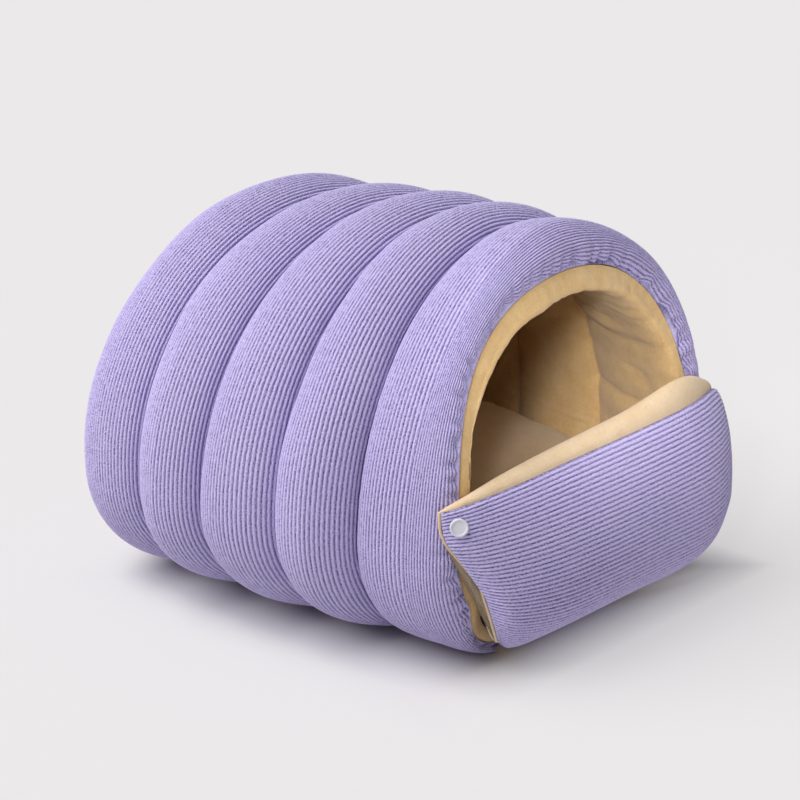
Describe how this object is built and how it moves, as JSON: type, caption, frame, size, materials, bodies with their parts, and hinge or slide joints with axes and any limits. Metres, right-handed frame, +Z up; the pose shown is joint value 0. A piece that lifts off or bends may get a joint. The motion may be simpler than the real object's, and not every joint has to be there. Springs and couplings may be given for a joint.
{
  "type": "dog cave bed",
  "caption": "Quilted tunnel-shaped pet cave bed in corduroy with a fleece lining, a floor cushion and a stuffed front flap that snaps up across the mouth.",
  "frame": {"origin": "middle of the underside, where the bed rests on the floor", "axes": "+Z up, -Y out of the mouth, and X across the tunnel with +X on the right of someone who faces the mouth"},
  "size_m": [0.4336, 0.466, 0.326],
  "materials": {
    "corduroy": "lavender wide-wale corduroy, soft pile sheen",
    "fleece": "warm cream short-pile fleece, matte",
    "snap": "white moulded plastic, satin gloss"
  },
  "bodies": {
    "root": {"shell": "corduroy", "lining": "fleece", "back_panel": "corduroy", "back_lining": "fleece", "base_panel": "corduroy", "floor_cushion": "fleece", "flap_face": "corduroy", "flap_lining": "fleece", "snap_cap_left": "snap", "snap_cap_right": "snap"}
  },
  "joints": []
}
